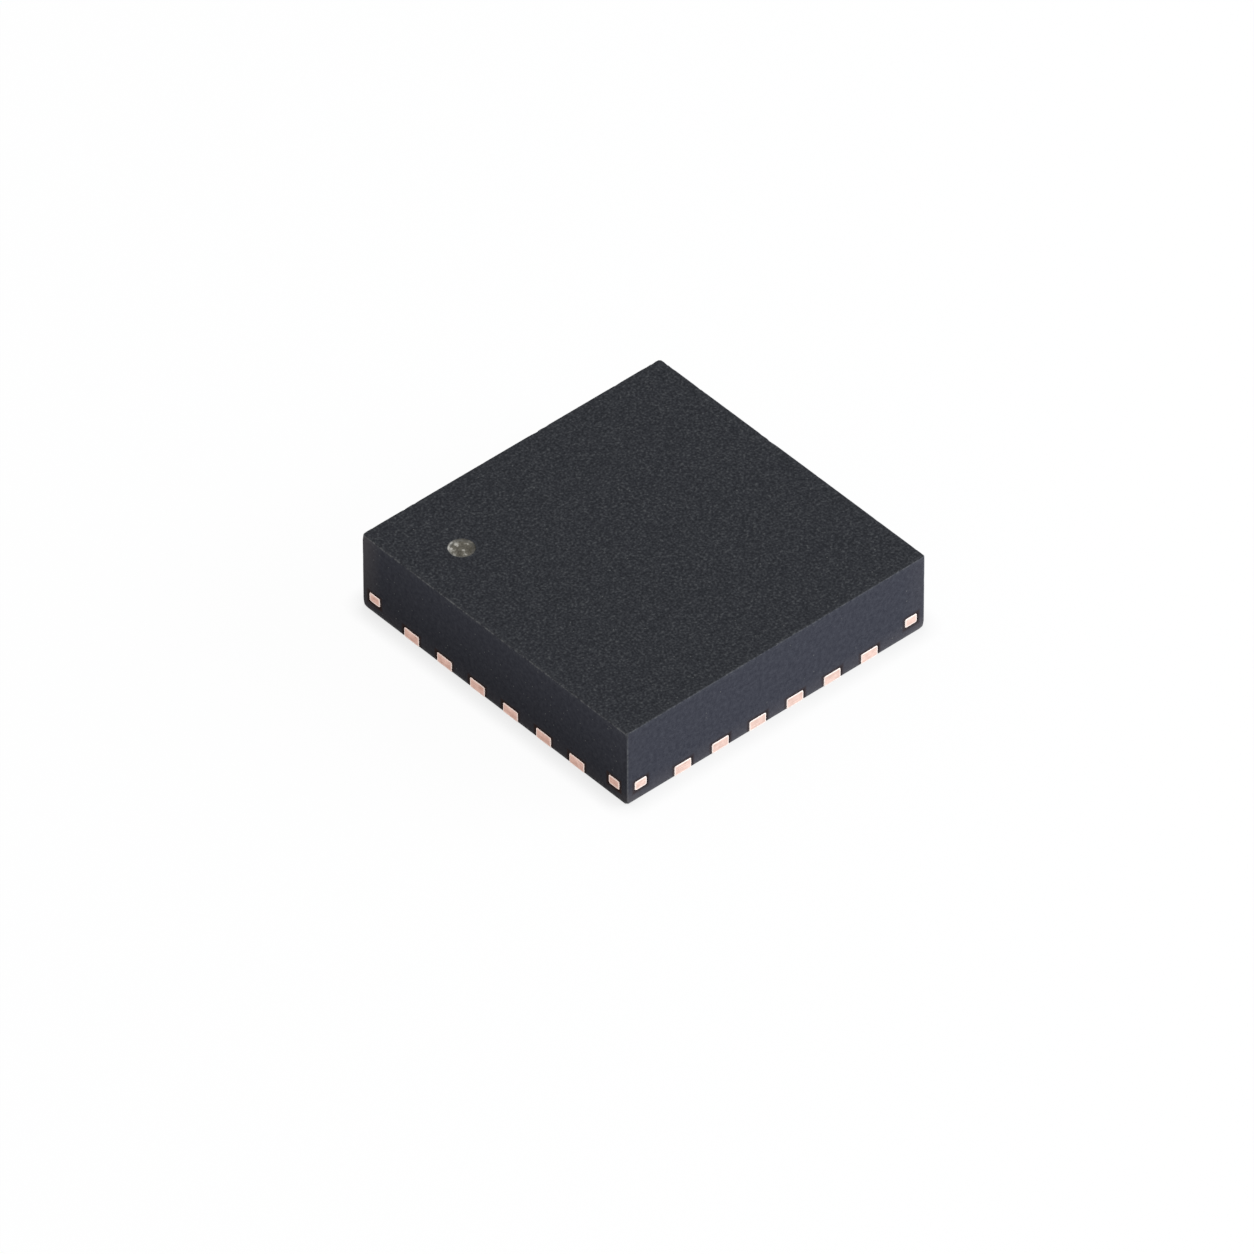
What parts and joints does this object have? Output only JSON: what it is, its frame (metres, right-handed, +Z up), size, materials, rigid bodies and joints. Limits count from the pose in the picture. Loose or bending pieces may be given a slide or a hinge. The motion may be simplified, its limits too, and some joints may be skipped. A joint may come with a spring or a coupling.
{
  "type": "qfn chip",
  "caption": "Square flat chip package with sawn copper leads flush with its sides and an exposed pad below, moulded round a wire-bonded die.",
  "frame": {"origin": "centre of the package in the seating plane, on the underside of the exposed pad", "axes": "+Z up out of the top face, +X and +Y along the sides: lead 1 is next to the corner between -X and +Y"},
  "size_m": [0.004, 0.004, 0.001],
  "materials": {
    "mould_compound": "fine matte grain on top, smoother sawn sides",
    "lead_frame_copper": "sawn copper at the sides, pale tin plating below",
    "die_attach_paste": "silver-filled paste",
    "silicon": "polished top",
    "bond_wire_gold": "bright drawn wire"
  },
  "bodies": {
    "root": {"mould_body": "mould_compound", "die_paddle": "lead_frame_copper", "die_attach": "die_attach_paste", "silicon_die": "silicon", "lead_01": "lead_frame_copper", "lead_02": "lead_frame_copper", "lead_03": "lead_frame_copper", "lead_04": "lead_frame_copper", "lead_05": "lead_frame_copper", "lead_06": "lead_frame_copper", "lead_07": "lead_frame_copper", "lead_08": "lead_frame_copper", "lead_09": "lead_frame_copper", "lead_10": "lead_frame_copper", "lead_11": "lead_frame_copper", "lead_12": "lead_frame_copper", "lead_13": "lead_frame_copper", "lead_14": "lead_frame_copper", "lead_15": "lead_frame_copper", "lead_16": "lead_frame_copper", "lead_17": "lead_frame_copper", "lead_18": "lead_frame_copper", "lead_19": "lead_frame_copper", "lead_20": "lead_frame_copper", "lead_21": "lead_frame_copper", "lead_22": "lead_frame_copper", "lead_23": "lead_frame_copper", "lead_24": "lead_frame_copper", "bond_wire_01": "bond_wire_gold", "bond_wire_02": "bond_wire_gold", "bond_wire_03": "bond_wire_gold", "bond_wire_04": "bond_wire_gold", "bond_wire_05": "bond_wire_gold", "bond_wire_06": "bond_wire_gold", "bond_wire_07": "bond_wire_gold", "bond_wire_08": "bond_wire_gold", "bond_wire_09": "bond_wire_gold", "bond_wire_10": "bond_wire_gold", "bond_wire_11": "bond_wire_gold", "bond_wire_12": "bond_wire_gold", "bond_wire_13": "bond_wire_gold", "bond_wire_14": "bond_wire_gold", "bond_wire_15": "bond_wire_gold", "bond_wire_16": "bond_wire_gold", "bond_wire_17": "bond_wire_gold", "bond_wire_18": "bond_wire_gold", "bond_wire_19": "bond_wire_gold", "bond_wire_20": "bond_wire_gold", "bond_wire_21": "bond_wire_gold", "bond_wire_22": "bond_wire_gold", "bond_wire_23": "bond_wire_gold", "bond_wire_24": "bond_wire_gold"}
  },
  "joints": []
}
